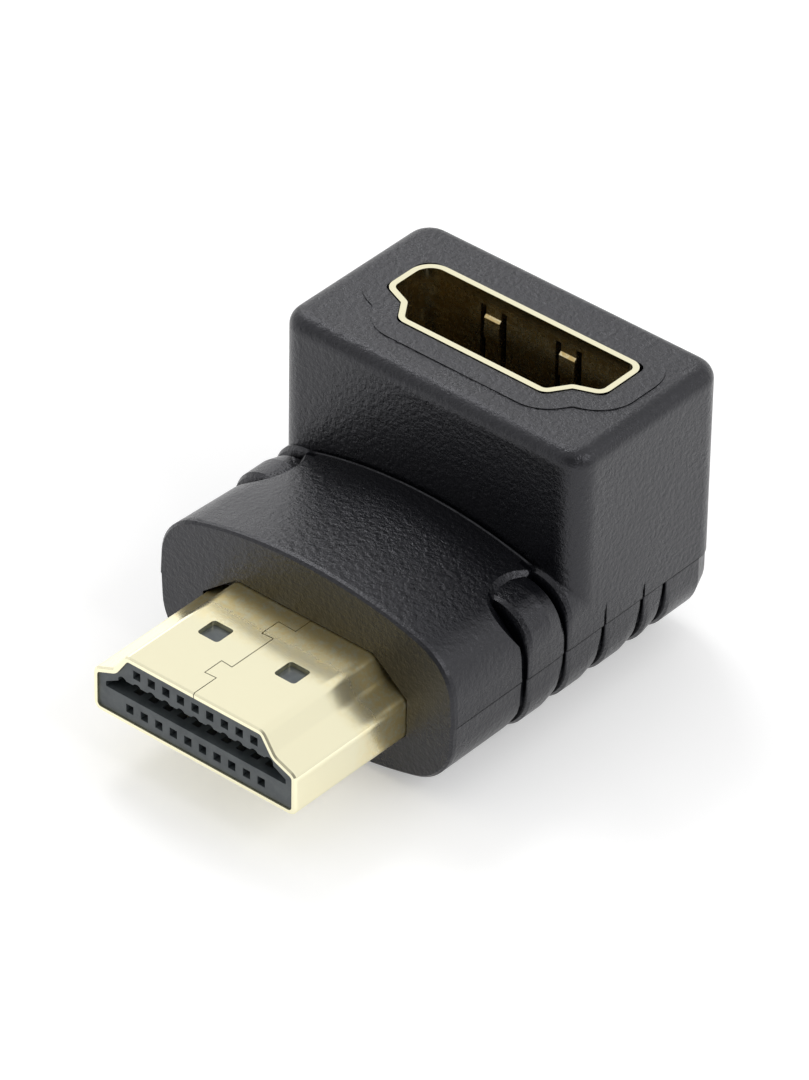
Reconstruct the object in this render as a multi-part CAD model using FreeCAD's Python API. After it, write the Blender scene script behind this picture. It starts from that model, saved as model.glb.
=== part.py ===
import FreeCAD, Part
import math
import os

Vector = FreeCAD.Vector

# Right-angle adapter for 19-contact digital video leads: a plug that points forward and a socket
# that opens upward, joined by a small circuit board inside a one-piece moulded housing.
#
# Frame, in millimetres: the origin is on the plug's axis where it leaves the housing's front face.
# The plug points along -Y, X runs across the contacts and +Z is the way that the socket opens.
# The mould parts on the plane Z = 0 round the lower body.

# Interface of the plug, and of the mouth that takes a plug of the same size
plug_width = 13.9
plug_height = 4.45
plug_reach = 8.55
side_top = 0.42
shoulder_half = 5.52
shoulder_height = 1.0
narrow_half = 4.7
outline_radius = 0.55
notch_radius = 0.6
least_radius = 0.1
mating_gap = 0.1
contact_pitch = 1.0
narrow_contacts = 9

# Plug shell: sheet, latch windows and the locked seam
plug_sheet = 0.3
plug_depth_inside = 2.0
tip_bevel = 0.1
window_width = 1.42
window_length = 1.38
window_spacing = 5.24
window_setback = 3.95
window_radius = 0.22
seam_gap = 0.05
lock_offset = 0.75
lock_length = 1.2
lock_setbacks = (1.75, 6.15)
seam_shift = 0.45

# Plug insulator and its contact channels
insulator_gap = 0.02
face_setback = 0.12
tongue_slot_depth = 6.3
tongue_slot_half = 0.5
slot_floor_half = 6.15
slot_end_height = 0.3
slot_roof_half = 4.9
scallop_radius = 0.3
scallop_depth = 0.7
channel_width = 0.5
channel_centre = 1.2
channel_height = 0.52
front_lip = 0.55
channel_gap = 0.05

# Plug contacts, one bent strip each
strip_width = 0.36
strip_thick = 0.18
tip_setback = 0.62
tip_length = 0.5
bump_setback = 2.4
bump_drop = 0.76
heel_setback = 4.6
tail_length = 1.9
tail_drop_length = 0.5

# Circuit board
board_thick = 1.0
board_side_margin = 0.2
board_neck_width = 11.6
board_neck_length = 1.6
board_start_gap = 0.15
board_rear_margin = 0.7
board_hole_gap = 0.04

# Socket: mouth, shell, spring fingers, legs, base and tongue
socket_y = 15.6
rim_proud = 0.1
socket_sheet = 0.35
socket_corner_radius = 0.35
socket_fold_radius = 0.95
finger_spacing = 5.1
finger_slot_pitch = 1.4
finger_slot_width = 0.36
finger_slot_setback = 0.85
finger_slot_length = 4.2
finger_bump = 0.16
finger_bump_length = 1.9
leg_width = 1.1
leg_proud = 0.7
leg_spacing_wide = 12.0
leg_spacing_narrow = 7.0
socket_base_height = 2.0
tongue_setback = 3.2
tongue_width = 11.4
tongue_thick = 0.9
tongue_lead = 0.2
blade_width = 0.4
blade_thick = 0.15
blade_setback = 0.5
pin_row_offset = 1.25
pin_proud = 0.6
jog_drop = 0.8

# Housing: collar, raised centre strips and the waist that narrows them behind the collar
collar_half_width = 10.1
collar_length = 5.5
top_height = 5.65
top_fall = 0.05
bottom_height = 5.35
crown_radius = 27.5
collar_corner = 3.3
collar_draft = 0.05
collar_bevel = 0.15
parting_step = 0.06
strip_half_width = 7.7
strip_gap = 0.15
strip_heel = 2.6
waist_radius = 3.5
waist_level = 4.4
waist_flare = 0.7
waist_side_offset = 0.45
waist_setback = 1.8

# Housing: ribbed lower body
body_half_width = 10.2
rib_top = 4.0
rib_bottom = 4.3
rib_top_corner = 2.2
rib_bottom_corner = 3.0
rib_front_round = 0.35
rib_rear_round = 1.1
rib_round_side = 0.07
rib_round_height = 0.35
rib_round_corner = 0.7
rounding_steps = 2
groove_width = 0.2
groove_depth_side = 0.3
groove_depth_height = 0.6
groove_corner_cut = 2.0
groove_pitch = 3.17
first_groove = 5.75
full_grooves = 4
last_groove_gap = 1.85
fade_heights = {2: 1.5, 3: 1.0}
fade_depth = 0.12

# Housing: socket block
block_front = 9.45
block_depth = 12.0
block_top = 11.8
block_corner = 1.5
block_edge = 0.9
plateau_grow = 1.45
plateau_height = 0.05
mouth_gap = 0.06
mouth_corner_sharpness = 0.35
pocket_depth = 0.8
cavity_gap = 0.05

# Places worked out from the dimensions above, and how far a cutter runs past what it opens
tip_y = -plug_reach
face_y = tip_y + face_setback
block_rear = block_front + block_depth
board_top = board_thick / 2
rim_z = block_top + rim_proud
socket_floor = board_top + socket_base_height
tongue_tip = rim_z - tongue_setback
strip_rear = block_front - strip_gap
board_front = plug_depth_inside + board_start_gap
wide_contacts = narrow_contacts + 1
board_width = plug_width + 2 * (mating_gap + socket_sheet + board_side_margin)
overcut = 1.0


# Outlines

def corner_cut(before, corner, after, radius):
    """The two tangent points and the middle point of the arc that rounds one corner."""
    ax, ay = before[0] - corner[0], before[1] - corner[1]
    bx, by = after[0] - corner[0], after[1] - corner[1]
    la, lb = math.hypot(ax, ay), math.hypot(bx, by)
    ax, ay, bx, by = ax / la, ay / la, bx / lb, by / lb
    half = math.acos(max(-1.0, min(1.0, ax * bx + ay * by))) / 2
    reach = radius / math.tan(half)
    mx, my = ax + bx, ay + by
    lm = math.hypot(mx, my)
    depth = radius / math.sin(half) - radius
    middle = (corner[0] + mx / lm * depth, corner[1] + my / lm * depth)
    first = (corner[0] + ax * reach, corner[1] + ay * reach)
    last = (corner[0] + bx * reach, corner[1] + by * reach)
    return first, middle, last


def rounded_wire(points, radii, place):
    """Closed wire through the points, each corner rounded by its radius, put in space by place."""
    count = len(points)
    cuts = []
    for i in range(count):
        if radii[i] > 0:
            cuts.append(corner_cut(points[i - 1], points[i], points[(i + 1) % count], radii[i]))
        else:
            cuts.append((points[i], None, points[i]))
    edges = []
    for i in range(count):
        first, middle, last = cuts[i]
        if middle is not None:
            edges.append(Part.Arc(place(first), place(middle), place(last)).toShape())
        edges.append(Part.makeLine(place(last), place(cuts[(i + 1) % count][0])))
    return Part.Wire(edges)


def grown(points, distance):
    """The outline, listed anticlockwise, with every side moved outward by the distance."""
    count = len(points)
    lines = []
    for i in range(count):
        (x0, y0), (x1, y1) = points[i], points[(i + 1) % count]
        length = math.hypot(x1 - x0, y1 - y0)
        nx, ny = (y1 - y0) / length, -(x1 - x0) / length
        lines.append((nx, ny, nx * x0 + ny * y0 + distance))
    result = []
    for i in range(count):
        a1, b1, c1 = lines[i - 1]
        a2, b2, c2 = lines[i]
        det = a1 * b2 - a2 * b1
        result.append(((c1 * b2 - c2 * b1) / det, (a1 * c2 - a2 * c1) / det))
    return result


def connector_points():
    """Outside of the plug, seen from the front: the wide side is low and the narrow side is high."""
    half, low, high = plug_width / 2, -plug_height / 2, plug_height / 2
    right = [(half, low), (half, side_top), (shoulder_half, shoulder_height), (narrow_half, high)]
    left = [(-x, y) for x, y in reversed(right)]
    return right + left


def connector_radii(grow, convex=outline_radius):
    """Corner radii of the plug's outline once its sides have moved outward by grow."""
    outer, inner = max(convex + grow, least_radius), max(notch_radius - grow, least_radius)
    right = [outer, outer, inner, outer]
    return right + right[::-1]


def along_y(y):
    return lambda p: Vector(p[0], y, p[1])


def along_z(z):
    """Puts the plug's outline round the socket's axis, its narrow side towards the plug."""
    return lambda p: Vector(p[0], socket_y - p[1], z)


def prism(wire, direction):
    return Part.Face(wire).extrude(direction)


def plug_prism(grow, y0, y1):
    wire = rounded_wire(grown(connector_points(), grow), connector_radii(grow), along_y(y0))
    return prism(wire, Vector(0, y1 - y0, 0))


def socket_radii(grow):
    """Corner radii of the socket's shell: tight ones, but for the far corner that the sheet folds round."""
    radii = connector_radii(grow, socket_corner_radius)
    radii[-1] = socket_fold_radius + grow
    return radii


def socket_prism(grow, z0, z1, radii):
    wire = rounded_wire(grown(connector_points(), grow), radii, along_z(z0))
    return prism(wire, Vector(0, 0, z1 - z0))


def box(x0, x1, y0, y1, z0, z1):
    return Part.makeBox(x1 - x0, y1 - y0, z1 - z0, Vector(x0, y0, z0))


def edges_at_y(shape, y):
    return [e for e in shape.Edges if all(abs(v.Y - y) < 1e-6 for v in e.Vertexes)]


def ribbon_points(path, thick):
    """Outline of a strip of even thickness whose middle follows an open path."""
    sides = []
    for sign in (1, -1):
        moved = []
        for i in range(len(path)):
            normals = []
            for a, b in ((i - 1, i), (i, i + 1)):
                if a >= 0 and b < len(path):
                    dx, dy = path[b][0] - path[a][0], path[b][1] - path[a][1]
                    length = math.hypot(dx, dy)
                    normals.append((-dy / length, dx / length))
            nx = sum(n[0] for n in normals)
            ny = sum(n[1] for n in normals)
            scale = 2 / (nx * nx + ny * ny) if len(normals) == 2 else 1
            moved.append((path[i][0] + sign * nx * scale * thick / 2,
                          path[i][1] + sign * ny * scale * thick / 2))
        sides.append(moved)
    return sides[0] + sides[1][::-1]


def ribbon(path, thick, x, width):
    """A strip of metal bent along a path of (y, z) points, centred on x."""
    points = [Vector(x - width / 2, y, z) for y, z in ribbon_points(path, thick)]
    face = Part.Face(Part.makePolygon(points + points[:1]))
    return face.extrude(Vector(width, 0, 0))


def row_places(count):
    """X of each contact in a row that is centred on the part."""
    return [(i - (count - 1) / 2) * contact_pitch for i in range(count)]


def contact_rows():
    """Number, X and side of every contact: odd ones on the wide side, even ones on the narrow side."""
    wide = [(2 * i + 1, x, -1) for i, x in enumerate(row_places(wide_contacts))]
    narrow = [(2 * i + 2, x, 1) for i, x in enumerate(row_places(narrow_contacts))]
    return sorted(wide + narrow)


# Plug

def latch_windows():
    """Cutters for two rounded windows in the narrow face and two in the wide face."""
    y0 = tip_y + window_setback
    half = window_width / 2
    corners = [(-half, y0), (half, y0), (half, y0 + window_length), (-half, y0 + window_length)]
    reach = plug_height
    return [prism(rounded_wire(corners, [window_radius] * 4, lambda p: Vector(p[0] + x, p[1], -reach)),
                  Vector(0, 0, 2 * reach))
            for x in (-window_spacing / 2, window_spacing / 2)]


def seam_cutter():
    """The fine slit where the folded sheet meets, with two locks that hold it closed."""
    path = [(0, tip_y - seam_gap)]
    for setback in lock_setbacks:
        y0, y1 = tip_y + setback, tip_y + setback + lock_length
        path += [(0, y0), (-lock_offset, y0 - seam_gap), (-lock_offset, y1 + seam_gap), (0, y1)]
    path[-1] = (seam_shift, path[-1][1])
    path.append((seam_shift, plug_depth_inside + seam_gap))
    low = plug_height / 2 - plug_sheet * 1.5
    points = [Vector(x, y, low) for x, y in ribbon_points(path, seam_gap)]
    return Part.Face(Part.makePolygon(points + points[:1])).extrude(Vector(0, 0, plug_sheet * 2))


def plug_shell():
    outer = plug_prism(0, tip_y, plug_depth_inside)
    outer = outer.makeChamfer(tip_bevel, edges_at_y(outer, tip_y))
    inner = plug_prism(-plug_sheet, tip_y - overcut, plug_depth_inside + overcut)
    return outer.cut(inner).cut(Part.makeCompound(latch_windows() + [seam_cutter()]))


def tongue_slot():
    """The slot that takes a socket's tongue; its ends follow the sloping sides of the shell."""
    low, high = -tongue_slot_half, tongue_slot_half
    points = [(slot_floor_half, low), (slot_floor_half, low + slot_end_height),
              (slot_roof_half, high), (-slot_roof_half, high),
              (-slot_floor_half, low + slot_end_height), (-slot_floor_half, low)]
    wire = rounded_wire(points, [0] * len(points), along_y(face_y - overcut))
    slot = prism(wire, Vector(0, overcut + tongue_slot_depth, 0))
    scallops = [Part.makeCylinder(scallop_radius, scallop_depth + overcut,
                                  Vector(x, face_y - overcut, high - scallop_radius / 2),
                                  Vector(0, 1, 0))
                for x in row_places(narrow_contacts + 2)]
    return slot.fuse(scallops)


def contact_channel(x, side):
    """Room for one plug contact: a square front hole, a bay open to the slot and a tight rear hole."""
    half, tall = channel_width / 2, channel_height / 2
    far = channel_centre + tall
    hole = box(x - half, x + half, face_y - overcut, face_y + front_lip, channel_centre - tall, far)
    bay = box(x - half, x + half, face_y + front_lip, face_y + tongue_slot_depth, 0, far)
    grip = strip_width / 2 + channel_gap
    rest = strip_thick / 2 + channel_gap
    rear = box(x - grip, x + grip, face_y + tongue_slot_depth, plug_depth_inside + overcut,
               channel_centre - rest, channel_centre + rest)
    channel = hole.fuse([bay, rear])
    if side < 0:
        channel = channel.mirror(Vector(0, 0, 0), Vector(0, 0, 1))
    return channel


def plug_insulator():
    body = plug_prism(-plug_sheet - insulator_gap, face_y, plug_depth_inside)
    channels = [contact_channel(x, side) for _, x, side in contact_rows()]
    return body.cut([tongue_slot()] + channels)


def plug_contact(x, side):
    """A spring contact: tip behind the front lip, bump in the slot, tail on the board."""
    tail_z = board_top + strip_thick / 2
    bump_z = channel_centre - bump_drop
    rear = plug_depth_inside
    path = [(face_y + tip_setback, channel_centre),
            (face_y + tip_setback + tip_length, channel_centre),
            (face_y + bump_setback, bump_z),
            (face_y + bump_setback + tip_length / 2, bump_z),
            (face_y + heel_setback, channel_centre),
            (rear, channel_centre),
            (rear + tail_drop_length, tail_z),
            (rear + tail_drop_length + tail_length, tail_z)]
    return ribbon([(y, side * z) for y, z in path], strip_thick, x, strip_width)


# Circuit board

def leg_places():
    """X, and the inner and outer Y, of each solder leg of the socket's shell."""
    half_inside = plug_height / 2 + mating_gap
    half_outside = half_inside + socket_sheet
    places = []
    for side in (-1, 1):
        places.append((side * leg_spacing_wide / 2, socket_y + half_inside, socket_y + half_outside))
        places.append((side * leg_spacing_narrow / 2, socket_y - half_outside, socket_y - half_inside))
    return places


def circuit_board():
    """A board whose neck goes between the plug's tails, with holes for the socket's pins and legs."""
    rear = block_rear - board_rear_margin
    neck = box(-board_neck_width / 2, board_neck_width / 2, board_front, rear, -board_top, board_top)
    body = box(-board_width / 2, board_width / 2, board_front + board_neck_length, rear,
               -board_top, board_top)
    board = neck.fuse(body).removeSplitter()
    reach, gap = board_thick, board_hole_gap
    holes = []
    for _, x, side in contact_rows():
        y = socket_y - side * pin_row_offset
        half_x, half_y = blade_width / 2 + gap, blade_thick / 2 + gap
        holes.append(box(x - half_x, x + half_x, y - half_y, y + half_y, -reach, reach))
    for x, y0, y1 in leg_places():
        half = leg_width / 2 + gap
        holes.append(box(x - half, x + half, y0 - gap, y1 + gap, -reach, reach))
    return board.cut(holes)


# Socket

def finger_places():
    """X of the middle of each spring finger in a wide wall."""
    return [-finger_spacing / 2, finger_spacing / 2]


def finger_slots():
    """Cutters for the two slots beside each spring finger, in the far and the near wall."""
    top = rim_z - finger_slot_setback
    reach = plug_height / 2 + mating_gap + 2 * socket_sheet
    keep = plug_height / 2
    cutters = []
    for x in finger_places():
        for side in (-1, 1):
            middle = x + side * finger_slot_pitch / 2
            x0, x1 = middle - finger_slot_width / 2, middle + finger_slot_width / 2
            for y0, y1 in ((socket_y - reach, socket_y - keep), (socket_y + keep, socket_y + reach)):
                cutters.append(box(x0, x1, y0, y1, top - finger_slot_length, top))
    return cutters


def finger_bumps():
    """The bowed part of each spring finger, which stands a little into the mouth."""
    wall = plug_height / 2 + mating_gap
    half = (finger_slot_pitch - finger_slot_width) / 2
    top = rim_z - finger_slot_setback - finger_slot_width
    slope = 2 * finger_bump
    bumps = []
    for side in (-1, 1):
        inner = socket_y + side * (wall - finger_bump)
        outer = socket_y + side * (wall + socket_sheet / 2)
        path = [(outer, top), (inner, top - slope), (inner, top - finger_bump_length + slope),
                (outer, top - finger_bump_length)]
        for x in finger_places():
            points = [Vector(x - half, y, z) for y, z in path]
            face = Part.Face(Part.makePolygon(points + points[:1]))
            bumps.append(face.extrude(Vector(2 * half, 0, 0)))
    return bumps


def socket_shell():
    inner_grow = mating_gap
    outer_grow = mating_gap + socket_sheet
    outer = socket_prism(outer_grow, board_top, rim_z, socket_radii(outer_grow))
    inner = socket_prism(inner_grow, board_top - overcut, rim_z + overcut, socket_radii(inner_grow))
    legs = [box(x - leg_width / 2, x + leg_width / 2, y0, y1, -board_top - leg_proud, socket_floor)
            for x, y0, y1 in leg_places()]
    ring = outer.cut(inner).cut(finger_slots())
    return ring.fuse(finger_bumps() + legs).removeSplitter()


def socket_contact(x, side):
    """A blade on the tongue's face that steps outward in the base and ends as a pin in the board."""
    toward = -side
    blade_y = socket_y + toward * (tongue_thick - blade_thick) / 2
    pin_y = socket_y + toward * pin_row_offset
    step = (socket_base_height - jog_drop) / 2
    path = [(blade_y, tongue_tip - blade_setback),
            (blade_y, socket_floor - step),
            (pin_y, socket_floor - step - jog_drop),
            (pin_y, -board_top - pin_proud)]
    return ribbon(path, blade_thick, x, blade_width)


def socket_insulator():
    """Base that fills the shell above the board, with the tongue moulded round the contacts."""
    grow = mating_gap - insulator_gap
    base = socket_prism(grow, board_top, socket_floor, socket_radii(grow))
    half = tongue_thick / 2
    lead = tongue_lead
    low = board_top + socket_base_height / 2
    profile = [(-half, low), (half, low), (half, tongue_tip - lead), (half - lead, tongue_tip),
               (lead - half, tongue_tip), (-half, tongue_tip - lead)]
    points = [Vector(-tongue_width / 2, socket_y + y, z) for y, z in profile]
    tongue = Part.Face(Part.makePolygon(points + points[:1])).extrude(Vector(tongue_width, 0, 0))
    contacts = [socket_contact(x, side) for _, x, side in contact_rows()]
    return base.fuse(tongue).removeSplitter().cut(contacts)


# Housing

def crowned_half(height, half_width, sink, way):
    """One mould half of the collar's section: arched crown, round corners and sides that lean outward.

    The sides run on past the parting plane by the sink, and way is 1 for the upper half, -1 for the lower.
    """
    crown = height - crown_radius
    lean = math.hypot(1, collar_draft)
    foot = half_width - collar_corner * lean
    b = foot * collar_draft + crown
    c = foot ** 2 + crown ** 2 - (crown_radius - collar_corner) ** 2
    cz = (b + math.sqrt(b * b - lean * lean * c)) / lean ** 2
    cx = foot - collar_draft * cz
    start, end = math.atan2(cz - crown, cx), math.atan(collar_draft)
    arc = [Vector(cx + collar_corner * math.cos(a), 0, way * (cz + collar_corner * math.sin(a)))
           for a in (start, (start + end) / 2, end)]
    mirrored = [Vector(-p.x, 0, p.z) for p in arc]
    low = Vector(half_width + collar_draft * sink, 0, -way * sink)
    low_left = Vector(-low.x, 0, low.z)
    return Part.Wire([
        Part.Arc(mirrored[0], Vector(0, 0, way * height), arc[0]).toShape(),
        Part.Arc(*arc).toShape(),
        Part.makeLine(arc[2], low),
        Part.makeLine(low, low_left),
        Part.makeLine(low_left, mirrored[2]),
        Part.Arc(*mirrored[::-1]).toShape(),
    ])


def crowned_body(length):
    """Body with a crowned section, whose top falls to the rear and whose lower half is a little smaller."""
    far = 2 * collar_half_width
    run = Vector(0, length + 2 * overcut, 0)
    upper = prism(crowned_half(top_height, collar_half_width, top_fall * run.y, 1), run)
    lower = prism(crowned_half(bottom_height, collar_half_width - parting_step, 0, -1), run)
    for half in (upper, lower):
        half.translate(Vector(0, -overcut, 0))
    upper.rotate(Vector(0, 0, top_height), Vector(1, 0, 0), -math.degrees(math.atan(top_fall)))
    upper = upper.common(box(-far, far, 0, length, 0, far))
    lower = lower.common(box(-far, far, 0, length, -far, 0))
    return upper.fuse(lower).removeSplitter()


def rounded_heel():
    """Room that the collar and strips may fill, with its lower rear edge rounded off."""
    far = 2 * collar_half_width
    rear = block_rear - strip_gap
    corners = [(-overcut, -bottom_height), (rear, -bottom_height), (rear, far), (-overcut, far)]
    side = rounded_wire(corners, [0, strip_heel, 0, 0], lambda p: Vector(-far, p[0], p[1]))
    return prism(side, Vector(2 * far, 0, 0))


def waist_cutters():
    """Four flared hollows that narrow the strips behind the collar, above and below on both sides."""
    low = waist_level - waist_radius / waist_flare
    tall = top_height + overcut - low
    x = collar_half_width + waist_side_offset
    y = collar_length + waist_setback
    cones = []
    for side in (-1, 1):
        for up in (-1, 1):
            cones.append(Part.makeCone(0, tall * waist_flare, tall, Vector(side * x, y, up * low),
                                       Vector(0, 0, up)))
    return cones


def collar_and_strips():
    """Collar that narrows behind to a raised strip above and below; the upper one ends at the block."""
    body = crowned_body(block_rear)
    far = 2 * collar_half_width
    end = block_rear + overcut
    sides = [box(strip_half_width, far, collar_length, end, -far, far),
             box(-far, -strip_half_width, collar_length, end, -far, far)]
    above = box(-far, far, strip_rear, end, 0, far)
    body = body.cut(sides + [above] + waist_cutters())
    return body.makeChamfer(collar_bevel, edges_at_y(body, 0)).common(rounded_heel())


def rib_wire(y, side, height, corner):
    """Section of the ribbed body, drawn in at its sides and heights, with its corners changed."""
    high, low = body_half_width - side, body_half_width - side - parting_step
    top, bottom = rib_top - height, rib_bottom - height
    right = [(low, -bottom), (low, 0), (high, 0), (high, top)]
    radii = [rib_bottom_corner + corner, 0, 0, rib_top_corner + corner]
    return rounded_wire(right + [(-x, z) for x, z in right[::-1]], radii + radii[::-1], along_y(y))


def rounding(reach):
    """Steps along a quarter ellipse: distance from its start, and the share still to rise."""
    turns = [math.pi / 2 * i / rounding_steps for i in range(rounding_steps + 1)]
    return [(reach * (1 - math.cos(a)), 1 - math.sin(a)) for a in turns]


def rib(y0, y1, last):
    """One rib: a short round at the front and a long one at the rear; the last one ends in a full round."""
    wires = []
    for distance, share in rounding(rib_front_round):
        wires.append(rib_wire(y0 + distance, share * rib_round_side, share * rib_round_height,
                              share * rib_round_corner))
    if last:
        for distance, share in reversed(rounding(block_corner)):
            draw_in = share * block_corner
            wires.append(rib_wire(y1 - distance, draw_in, draw_in, -draw_in))
    else:
        for distance, share in reversed(rounding(rib_rear_round)):
            wires.append(rib_wire(y1 - distance, share * rib_round_side, share * rib_round_height,
                                  share * rib_round_corner))
    return Part.makeLoft(wires, True, True)


def groove_places():
    places = [first_groove + i * groove_pitch for i in range(full_grooves)]
    return places + [places[-1] + last_groove_gap]


def groove_core(y0, y1):
    """What is left inside the grooves: a plain bar whose corners are cut off, so grooves deepen there."""
    half = body_half_width - groove_depth_side
    top, bottom = rib_top - groove_depth_height, rib_bottom - groove_depth_height
    cut = groove_corner_cut
    right = [(half - cut, -bottom), (half, cut - bottom), (half, top - cut), (half - cut, top)]
    points = right + [(-x, z) for x, z in right[::-1]]
    return prism(rounded_wire(points, [0] * len(points), along_y(y0)), Vector(0, y1 - y0, 0))


def ribs():
    """Ribs round the lower body, on the bar that shows in the grooves between them."""
    half = groove_width / 2
    places = groove_places()
    ends = places[1:] + [block_rear + half]
    solids = [rib(groove + half, end - half, end == ends[-1]) for groove, end in zip(places, ends)]
    return groove_core(collar_length / 2, places[-1] + block_corner).fuse(solids)


def groove_fades():
    """Cutters for the shallow ends of two grooves, which rise into the block's walls and run out."""
    places = groove_places()
    cutters = []
    for index, height in fade_heights.items():
        for side in (-1, 1):
            face_x, floor_x = side * (body_half_width + overcut), side * (body_half_width - fade_depth)
            rise = height * (1 + overcut / fade_depth)
            points = [(floor_x, 0), (face_x, 0), (face_x, rise)]
            start = places[index] - groove_width / 2
            wire = Part.makePolygon([Vector(x, start, z) for x, z in points + points[:1]])
            cutters.append(prism(wire, Vector(0, groove_width, 0)))
    return cutters


def socket_block():
    """Upright block that stands on the parting plane, with rounded corners and rim."""
    w, y0, y1 = body_half_width, block_front, block_rear
    plan = rounded_wire([(-w, y0), (w, y0), (w, y1), (-w, y1)], [block_corner] * 4,
                        lambda p: Vector(p[0], p[1], 0))
    block = prism(plan, Vector(0, 0, block_top))
    rim = [e for e in block.Edges if all(abs(v.Z - block_top) < 1e-6 for v in e.Vertexes)]
    return block.makeFillet(block_edge, rim).cut(groove_fades())


def plateau():
    """Very low step round the mouth on the block's top, which follows the mouth's outline."""
    grow = mating_gap + socket_sheet + plateau_grow
    return socket_prism(grow, block_top - overcut, block_top + plateau_height, connector_radii(grow))


def mouth_cavity():
    """Room for the socket: the shell's outline with sharper corners, open at the top."""
    grow = mating_gap + socket_sheet + mouth_gap
    shell = socket_radii(grow)
    tight = socket_radii(grow - mouth_corner_sharpness)
    radii = [min(a, b) for a, b in zip(shell, tight)]
    return socket_prism(grow, board_top, block_top + overcut, radii)


def plug_cavity():
    """Room for the plug, with plain sloping corners at the front that leave small pockets."""
    body = plug_prism(cavity_gap, -overcut, plug_depth_inside + cavity_gap)
    half, low, high = plug_width / 2 + cavity_gap, -plug_height / 2, plug_height / 2 + cavity_gap
    points = [(half, low / 2), (half, side_top), (narrow_half, high), (-narrow_half, high),
              (-half, side_top), (-half, low / 2)]
    pocket = prism(rounded_wire(points, [0] * len(points), along_y(-overcut)),
                   Vector(0, overcut + pocket_depth, 0))
    return body.fuse(pocket)


def tail_cavity():
    """Room for the plug's tails above and below the board."""
    half_x = max(row_places(wide_contacts)) + strip_width / 2 + cavity_gap
    half_z = channel_centre + strip_thick / 2 + cavity_gap
    end = plug_depth_inside + tail_drop_length + tail_length + cavity_gap
    return box(-half_x, half_x, plug_depth_inside, end, -half_z, half_z)


def board_cavity():
    """Room for the board and for the pins and legs that come out below it."""
    gap = cavity_gap
    rear = block_rear - board_rear_margin + gap
    top = board_top + gap
    body = box(-board_width / 2 - gap, board_width / 2 + gap, board_front + board_neck_length - gap,
               rear, -top, top)
    neck = box(-board_neck_width / 2 - gap, board_neck_width / 2 + gap, plug_depth_inside, rear,
               -top, top)
    half_y = plug_height / 2 + mating_gap + socket_sheet + gap
    half_x = leg_spacing_wide / 2 + leg_width / 2 + gap
    below = board_top + max(pin_proud, leg_proud) + gap
    pins = box(-half_x, half_x, socket_y - half_y, socket_y + half_y, -below, 0)
    return body.fuse([neck, pins])


def housing():
    solid = collar_and_strips().fuse([ribs(), socket_block(), plateau()])
    solid = solid.removeSplitter()
    return solid.cut([mouth_cavity(), plug_cavity(), tail_cavity(), board_cavity()])


def all_nodes():
    nodes = {
        "housing": housing(),
        "plug_shell": plug_shell(),
        "plug_insulator": plug_insulator(),
        "circuit_board": circuit_board(),
        "socket_shell": socket_shell(),
        "socket_insulator": socket_insulator(),
    }
    for number, x, side in contact_rows():
        nodes["plug_contact_%02d" % number] = plug_contact(x, side)
        nodes["socket_contact_%02d" % number] = socket_contact(x, side)
    return nodes


os.makedirs("parts", exist_ok=True)
for name, shape in all_nodes().items():
    shape.exportStep("parts/%s.step" % name)
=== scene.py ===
import math

import bpy
from mathutils import Matrix, Vector


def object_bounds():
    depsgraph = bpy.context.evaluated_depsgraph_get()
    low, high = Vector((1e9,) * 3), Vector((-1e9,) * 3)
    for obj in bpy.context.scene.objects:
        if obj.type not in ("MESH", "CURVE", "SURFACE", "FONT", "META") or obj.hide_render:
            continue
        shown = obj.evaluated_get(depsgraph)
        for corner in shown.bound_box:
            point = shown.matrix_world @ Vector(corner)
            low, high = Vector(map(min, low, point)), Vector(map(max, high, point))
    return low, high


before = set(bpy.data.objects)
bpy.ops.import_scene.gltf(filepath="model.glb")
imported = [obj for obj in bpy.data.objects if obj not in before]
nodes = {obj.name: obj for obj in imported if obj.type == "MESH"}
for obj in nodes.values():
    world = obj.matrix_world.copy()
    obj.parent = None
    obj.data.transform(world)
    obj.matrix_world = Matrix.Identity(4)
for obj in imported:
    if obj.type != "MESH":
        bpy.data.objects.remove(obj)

cad_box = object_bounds()

MM = 0.001

# Camera of the photograph, worked out from the plug's edges, in the part's frame
PHOTO_WIDTH = 809
PHOTO_FOCAL = 7795
CAMERA_AZIMUTH = 40.0
CAMERA_ELEVATION = 36.66
CAMERA_ROLL = 1.0
CAMERA_PLACE = (209.30, -241.51, 245.14)

# Light: the paper under the part, the white tent round it and square lamps that face the part, each with
# its azimuth and elevation in degrees, distance and size in metres, and power in watts
FLOOR_SIZE = 3.0
FLOOR_WHITE = 0.8
FLOOR_LIFT_SEEN = 0.33
FLOOR_LIFT_IN_GLOSS = 0.29
SKY_BACK = 0.9
SKY_FRONT = 0.3
LAMPS = (
    ("key_left", -120, 52, 0.8, 0.22, 1.1),
    ("low_back_left", -130, 14, 0.8, 0.3, 0.18),
    ("fill_right", 95, 40, 0.8, 0.4, 1.7),
)

# Colours
PVC_DARK = (0.0018, 0.0020, 0.0031)
PVC_LIGHT = (0.0034, 0.0036, 0.0050)
PVC_GLOSS_TINT = (0.93, 0.93, 1.0, 1.0)
PALE_GOLD = (0.98, 0.93, 0.67)
RICH_GOLD = (0.93, 0.76, 0.35)
# Painted shade: darker gold for down in the socket's mouth
MOUTH_SHADE_GOLD = (0.60, 0.45, 0.20)
CONTACT_PALE = (1.0, 0.92, 0.66)
CONTACT_RICH = (0.94, 0.78, 0.44)
SLATE_DARK = (0.055, 0.066, 0.072)
SLATE_LIGHT = (0.094, 0.108, 0.113)
BLACK_DARK = (0.010, 0.010, 0.010)
BLACK_LIGHT = (0.018, 0.018, 0.018)
LACQUER_DARK = (0.012, 0.075, 0.03)
LACQUER_LIGHT = (0.02, 0.11, 0.045)

# How much rougher the gold is where it is richer on the plug, and where it is darkened as painted shade in
# the socket's mouth
PLUG_BLUR = 0.24
SOCKET_BLUR = 0.14

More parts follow.
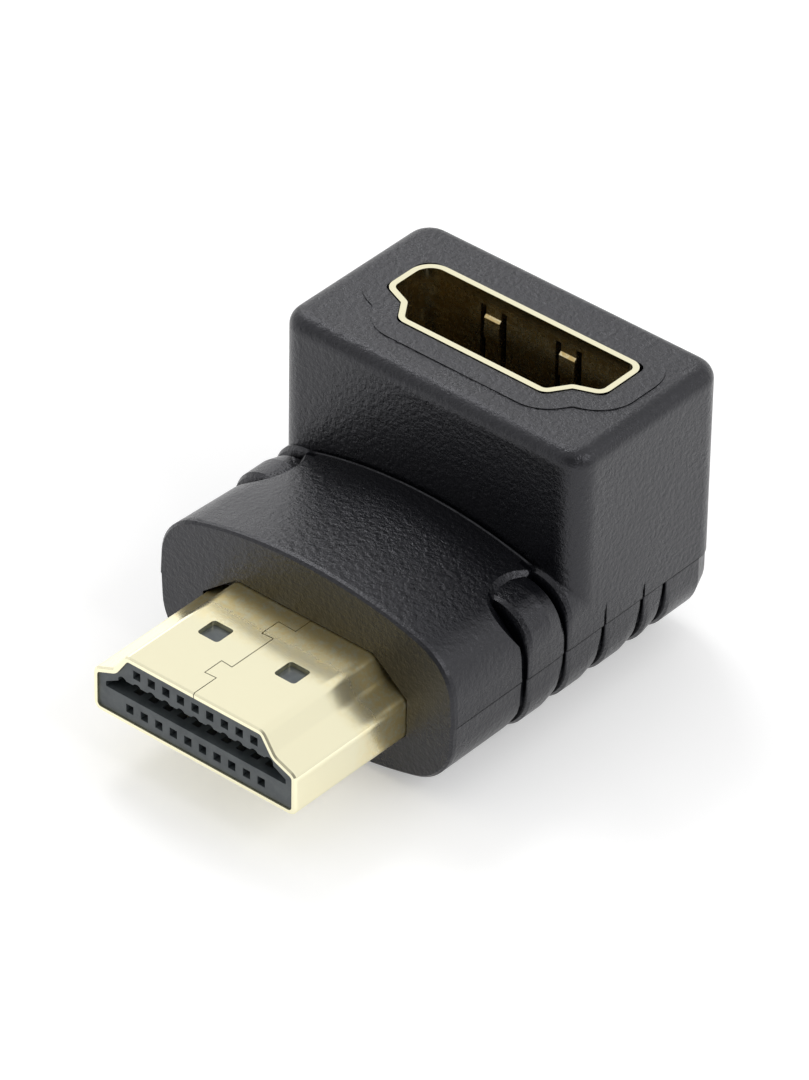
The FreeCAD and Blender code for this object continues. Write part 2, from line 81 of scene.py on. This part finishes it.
# Places on the model that its materials follow, in millimetres
CREST_Y = 9.3
CREST_HALF_WIDTH = 7.5
CREST_LOW_Z = 3.0
SIDE_X = 7.7
GROOVE_END_X = 5.7
STRIP_SIDE_Z = 4.3
EDGE_START_Y = 0.14
EDGE_END_Y = 0.42
EDGE_HEIGHT = 1.1
PARTING_START_Y = 0.3
PARTING_HALF_WIDTH = 0.11
PARTING_HALF_CORE = 0.04
LONG_GROOVES = (5.75, 8.92)
LOW_GROOVES = (12.09, 15.26, 17.11)
GROOVE_WIDENS_Z = -1.0
GROOVE_WIDEST_Z = -3.6
GROOVE_REACH = 0.17
GROOVE_REACH_LOW = 0.30
PALE_GOLD_Y = -4.05
RICH_GOLD_Y = -0.8
RIM_LOW_Z = 11.75
# Below this height the socket's gold carries its full painted shade
MOUTH_SHADE_Z = 11.3


# Shader graphs

class Graph:
    """A material's node tree, with short calls that add one node and link it."""

    def __init__(self, name):
        self.material = bpy.data.materials.new(name)
        self.material.use_nodes = True
        self.tree = self.material.node_tree
        self.tree.nodes.clear()
        self.output = self.tree.nodes.new("ShaderNodeOutputMaterial")

    def add(self, kind, **settings):
        """New node; an input is set by its name, or linked where the value is another node's socket."""
        node = self.tree.nodes.new("ShaderNode" + kind)
        inputs = settings.pop("inputs", {})
        for key, value in settings.items():
            setattr(node, key, value)
        for key, value in inputs.items():
            if isinstance(value, bpy.types.NodeSocket):
                self.tree.links.new(value, node.inputs[key])
            else:
                node.inputs[key].default_value = value
        return node

    def millimetres(self):
        """Place on the object, in millimetres."""
        place = self.add("TexCoord").outputs["Object"]
        return self.add("VectorMath", operation="SCALE", inputs={0: place, "Scale": 1 / MM}).outputs["Vector"]

    def parts(self, place):
        """The X, Y and Z of a place."""
        return self.add("SeparateXYZ", inputs={"Vector": place}).outputs

    def noise(self, place, scale, detail=3.0, roughness=0.55):
        inputs = {"Vector": place, "Scale": scale, "Detail": detail, "Roughness": roughness}
        return self.add("TexNoise", inputs=inputs).outputs["Fac"]

    def ramp(self, value, low, high, at_low=0.0, at_high=1.0):
        """Straight slope between two values of the input, level outside them."""
        inputs = {"Value": value, "From Min": low, "From Max": high, "To Min": at_low, "To Max": at_high}
        return self.add("MapRange", inputs=inputs).outputs["Result"]

    def blend(self, factor, first, second):
        """Colour between two, by the factor."""
        node = self.add("Mix", data_type="RGBA")
        self.tree.links.new(factor, node.inputs["Factor"])
        colours = [s for s in node.inputs if s.type == "RGBA"]
        colours[0].default_value = (*first, 1)
        colours[1].default_value = (*second, 1)
        return [s for s in node.outputs if s.type == "RGBA"][0]

    def math(self, operation, first, second=0.0):
        """Result of one sum on sockets or plain numbers."""
        node = self.add("Math", operation=operation)
        for socket, value in zip(node.inputs, (first, second)):
            if isinstance(value, bpy.types.NodeSocket):
                self.tree.links.new(value, socket)
            else:
                socket.default_value = value
        return node.outputs["Value"]

    def product(self, *values):
        result = values[0]
        for value in values[1:]:
            result = self.math("MULTIPLY", result, value)
        return result

    def bump(self, height, strength, distance):
        """Normals bent by a height, at a distance in millimetres."""
        inputs = {"Height": height, "Strength": strength, "Distance": distance * MM}
        return self.add("Bump", inputs=inputs).outputs["Normal"]

    def surface(self, shader):
        self.tree.links.new(shader.outputs[0], self.output.inputs["Surface"])
        return self.material


def crest_bead(g, place):
    """Fine raised lip along the rear edge of the upper strip, as a height from 0 to 1."""
    x, y, z = g.parts(place)
    across = g.ramp(g.math("ABSOLUTE", x), CREST_HALF_WIDTH, CREST_HALF_WIDTH - 0.3)
    rise = g.ramp(y, CREST_Y - 0.16, CREST_Y - 0.04)
    upper = g.math("GREATER_THAN", z, CREST_LOW_Z)
    before_wall = g.math("LESS_THAN", y, CREST_Y + 0.02)
    return g.product(across, rise, upper, before_wall)


def worn_front_edge(g, place):
    """Softening behind the bevel of the collar's front edge, as a height that rises to the rear."""
    return g.ramp(g.parts(place)[1], EDGE_START_Y, EDGE_END_Y, 0.0, EDGE_HEIGHT)


def groove_painted_shade(g, place):
    """Painted shade of the narrow grooves, as a mask: 1 at a groove's middle, wider at the low corner."""
    x, y, z = g.parts(place)
    reach = g.ramp(z, GROOVE_WIDENS_Z, GROOVE_WIDEST_Z, GROOVE_REACH, GROOVE_REACH_LOW)
    side = g.math("GREATER_THAN", g.math("ABSOLUTE", x), GROOVE_END_X)
    inside = g.math("LESS_THAN", g.math("ABSOLUTE", z), STRIP_SIDE_Z)
    low = g.math("LESS_THAN", z, 0.0)
    total = None
    for groove in LONG_GROOVES + LOW_GROOVES:
        away = g.math("DIVIDE", g.math("ABSOLUTE", g.math("SUBTRACT", y, groove)), reach)
        painted_shade = g.product(g.ramp(away, 1.0, 0.7), side, inside if groove in LONG_GROOVES else low)
        total = painted_shade if total is None else g.math("MAXIMUM", total, painted_shade)
    return total


def parting_line(g, place):
    """Fine line where the mould's halves met, on the sides of the body."""
    x, y, z = g.parts(place)
    side = g.math("GREATER_THAN", g.math("ABSOLUTE", x), SIDE_X)
    behind_front = g.math("GREATER_THAN", y, PARTING_START_Y)
    core = g.ramp(g.math("ABSOLUTE", z), PARTING_HALF_WIDTH, PARTING_HALF_CORE)
    return g.product(core, side, behind_front)


def moulded_pvc():
    """Soft black moulding with a leather-like grain, pinprick speckle and faint flow marks, with painted
    shade in its grooves and along its parting line.
    """
    g = Graph("moulded_pvc")
    place = g.millimetres()
    grain = g.noise(place, 3.9, detail=3.5, roughness=0.72)
    wrinkle = g.add("TexVoronoi", feature="SMOOTH_F1",
                    inputs={"Vector": place, "Scale": 2.6, "Smoothness": 0.5}).outputs["Distance"]
    flow = g.noise(place, 0.25, detail=2.0)
    line = parting_line(g, place)
    height = g.math("ADD", g.math("ADD", grain, g.product(wrinkle, 0.3)), crest_bead(g, place))
    height = g.math("SUBTRACT", height, g.product(line, 0.6))
    height = g.math("ADD", height, worn_front_edge(g, place))
    colour = g.blend(g.ramp(grain, 0.3, 0.7), PVC_DARK, PVC_LIGHT)
    # Painted shade: the sheen is taken away in the grooves and along the parting line, whose shallow groove
    # in the bump is real
    painted_shade = g.math("MAXIMUM", groove_painted_shade(g, place), g.product(line, 0.8))
    gloss = g.ramp(g.math("ADD", g.product(grain, 0.5), g.product(flow, 0.5)), 0.3, 0.7, 0.24, 0.34)
    normal = g.bump(height, 1.0, 0.06)
    return g.surface(g.add("BsdfPrincipled", inputs={
        "Base Color": colour, "Roughness": gloss, "Normal": normal, "IOR": 1.55,
        "Specular IOR Level": g.ramp(painted_shade, 0.0, 1.0, 0.5, 0.03), "Specular Tint": PVC_GLOSS_TINT}))


def gold_sheet(name, along_y, pale, rich, rich_share, rich_blur):
    """Gold plating over drawn sheet, from pale to a second gold where the share says so (on the socket that
    share is painted shade), clouded and faintly lined.
    """
    g = Graph(name)
    place = g.millimetres()
    stretch = (4.0, 0.5, 4.0) if along_y else (4.0, 4.0, 0.5)
    drawn = g.add("Mapping", inputs={"Vector": place, "Scale": stretch}).outputs["Vector"]
    lines = g.noise(drawn, 1.5, detail=4.0, roughness=0.6)
    cloud = g.noise(place, 2.4, detail=5.0, roughness=0.8)
    share = rich_share(g, place)
    mottle = g.product(share, g.ramp(cloud, 0.35, 0.65, 0.2, 1.5))
    colour = g.blend(g.ramp(mottle, 0.0, 1.0), pale, rich)
    gloss = g.math("ADD", g.ramp(cloud, 0.3, 0.7, 0.12, 0.15), g.product(share, rich_blur))
    normal = g.bump(lines, 0.05, 0.02)
    return g.surface(g.add("BsdfPrincipled", inputs={
        "Base Color": colour, "Metallic": 1.0, "Roughness": gloss, "Normal": normal}))


def plug_rich_share(g, place):
    """Richer, darker gold towards the housing."""
    return g.ramp(g.parts(place)[1], PALE_GOLD_Y, RICH_GOLD_Y)


def socket_painted_shade_share(g, place):
    """Pale gold on the rim, darkening to a deeper gold down in the mouth as painted shade."""
    return g.ramp(g.parts(place)[2], RIM_LOW_Z, MOUTH_SHADE_Z)


def contact_metal():
    """Bright plated stampings with tiny pits."""
    g = Graph("contact_metal")
    pits = g.noise(g.millimetres(), 9.0, detail=2.0)
    colour = g.blend(g.ramp(pits, 0.4, 0.65), CONTACT_PALE, CONTACT_RICH)
    return g.surface(g.add("BsdfPrincipled", inputs={
        "Base Color": colour, "Metallic": 1.0, "Roughness": g.ramp(pits, 0.3, 0.7, 0.22, 0.36),
        "Normal": g.bump(pits, 0.1, 0.02)}))


def moulded_insulator(name, dark, light):
    """Smooth technical plastic with a faint mottle and a low sheen."""
    g = Graph(name)
    place = g.millimetres()
    mottle = g.noise(place, 1.4, detail=4.0)
    fine = g.noise(place, 8.0, detail=2.0)
    return g.surface(g.add("BsdfPrincipled", inputs={
        "Base Color": g.blend(g.ramp(mottle, 0.35, 0.65), dark, light),
        "Roughness": g.ramp(mottle, 0.3, 0.7, 0.32, 0.45),
        "Normal": g.bump(fine, 0.15, 0.02), "IOR": 1.5}))


def board_laminate():
    """Green lacquer over a woven laminate."""
    g = Graph("board_laminate")
    place = g.millimetres()
    weave = g.add("TexWave", bands_direction="DIAGONAL",
                  inputs={"Vector": place, "Scale": 1.2, "Distortion": 1.0}).outputs["Fac"]
    mottle = g.noise(place, 0.8)
    return g.surface(g.add("BsdfPrincipled", inputs={
        "Base Color": g.blend(g.ramp(mottle, 0.3, 0.7), LACQUER_DARK, LACQUER_LIGHT),
        "Roughness": g.ramp(mottle, 0.3, 0.7, 0.2, 0.32), "Normal": g.bump(weave, 0.1, 0.02)}))


def dress_nodes():
    """Gives each node of the model the material of what it is made of."""
    contacts = contact_metal()
    finishes = {
        "housing": moulded_pvc(),
        "plug_shell": gold_sheet("gold_plug_sheet", True, PALE_GOLD, RICH_GOLD, plug_rich_share, PLUG_BLUR),
        # The socket shell's mouth is darkened as painted shade
        "socket_shell": gold_sheet("gold_socket_sheet", False, PALE_GOLD, MOUTH_SHADE_GOLD, socket_painted_shade_share,
                                   SOCKET_BLUR),
        "plug_insulator": moulded_insulator("insulator_slate", SLATE_DARK, SLATE_LIGHT),
        "socket_insulator": moulded_insulator("insulator_black", BLACK_DARK, BLACK_LIGHT),
        "circuit_board": board_laminate(),
    }
    for name, node in nodes.items():
        material = finishes.get(name, contacts)
        node.data.materials.clear()
        node.data.materials.append(material)


# Stage, light and camera

def backdrop_material():
    """White paper with a barely visible fibre, shown a little brighter to the camera and in reflections."""
    g = Graph("white_paper")
    seen = g.add("LightPath").outputs
    lift = g.math("ADD", g.math("MULTIPLY", seen["Is Camera Ray"], FLOOR_LIFT_SEEN),
                  g.math("MULTIPLY", seen["Is Glossy Ray"], FLOOR_LIFT_IN_GLOSS))
    fibre = g.noise(g.millimetres(), 0.2)
    colour = g.blend(g.ramp(fibre, 0.3, 0.7), (FLOOR_WHITE,) * 3, (FLOOR_WHITE * 1.01,) * 3)
    paper = g.add("BsdfDiffuse", inputs={"Color": colour})
    glow = g.add("Emission", inputs={"Color": (1, 1, 1, 1), "Strength": lift})
    both = g.add("AddShader")
    g.tree.links.new(paper.outputs[0], both.inputs[0])
    g.tree.links.new(glow.outputs[0], both.inputs[1])
    return g.surface(both)


def make_floor():
    """Flat sheet of paper that the part stands on."""
    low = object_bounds()[0][2]
    half = FLOOR_SIZE / 2
    mesh = bpy.data.meshes.new("floor")
    corners = [(-half, -half, low), (half, -half, low), (half, half, low), (-half, half, low)]
    mesh.from_pydata(corners, [], [(0, 1, 2, 3)])
    floor = bpy.data.objects.new("floor", mesh)
    bpy.context.scene.collection.objects.link(floor)
    mesh.materials.append(backdrop_material())


def make_sky():
    """White surroundings, as in a light tent that is open on the photographer's side."""
    world = bpy.data.worlds.new("white_tent")
    bpy.context.scene.world = world
    world.use_nodes = True
    tree = world.node_tree
    tree.nodes.clear()
    background = tree.nodes.new("ShaderNodeBackground")
    background.inputs["Color"].default_value = (1, 1, 1, 1)
    front = math.radians(CAMERA_AZIMUTH)
    way = tree.nodes.new("ShaderNodeTexCoord")
    toward = tree.nodes.new("ShaderNodeVectorMath")
    toward.operation = "DOT_PRODUCT"
    toward.inputs[1].default_value = (math.sin(front), -math.cos(front), 0)
    strength = tree.nodes.new("ShaderNodeMapRange")
    for key, value in (("From Min", 0.0), ("From Max", 0.8), ("To Min", SKY_BACK), ("To Max", SKY_FRONT)):
        strength.inputs[key].default_value = value
    tree.links.new(way.outputs["Generated"], toward.inputs[0])
    tree.links.new(toward.outputs["Value"], strength.inputs["Value"])
    tree.links.new(strength.outputs["Result"], background.inputs["Strength"])
    output = tree.nodes.new("ShaderNodeOutputWorld")
    tree.links.new(background.outputs[0], output.inputs["Surface"])


def softbox(name, azimuth, elevation, distance, size, power):
    """Square area lamp that faces the middle of the part."""
    low, high = (Vector(corner) for corner in cad_box)
    middle = (low + high) / 2
    a, e = math.radians(azimuth), math.radians(elevation)
    away = Vector((math.sin(a) * math.cos(e), -math.cos(a) * math.cos(e), math.sin(e)))
    lamp = bpy.data.lights.new(name, "AREA")
    lamp.shape = "SQUARE"
    lamp.size = size
    lamp.energy = power
    holder = bpy.data.objects.new(name, lamp)
    holder.location = middle + away * distance
    holder.rotation_euler = away.to_track_quat("Z", "Y").to_euler()
    bpy.context.scene.collection.objects.link(holder)


def make_camera():
    """Camera where the photographer's was, with the same field of view and slight roll."""
    a, e, roll = (math.radians(v) for v in (CAMERA_AZIMUTH, CAMERA_ELEVATION, CAMERA_ROLL))
    back = Vector((math.sin(a) * math.cos(e), -math.cos(a) * math.cos(e), math.sin(e)))
    level = Vector((math.cos(a), math.sin(a), 0))
    rise = back.cross(level)
    right = level * math.cos(roll) + rise * math.sin(roll)
    up = rise * math.cos(roll) - level * math.sin(roll)
    data = bpy.data.cameras.new("photo_camera")
    data.sensor_fit = "HORIZONTAL"
    data.sensor_width = 36.0
    data.lens = PHOTO_FOCAL / PHOTO_WIDTH * data.sensor_width
    data.clip_start = 0.01
    data.clip_end = 20.0
    camera = bpy.data.objects.new("photo_camera", data)
    camera.matrix_world = (Matrix.Translation(Vector(CAMERA_PLACE) * MM)
                           @ Matrix((right, up, back)).transposed().to_4x4())
    bpy.context.scene.collection.objects.link(camera)
    bpy.context.scene.camera = camera


dress_nodes()
make_floor()
make_sky()
for lamp_values in LAMPS:
    softbox(*lamp_values)
make_camera()
bpy.context.scene.view_settings.view_transform = "Standard"
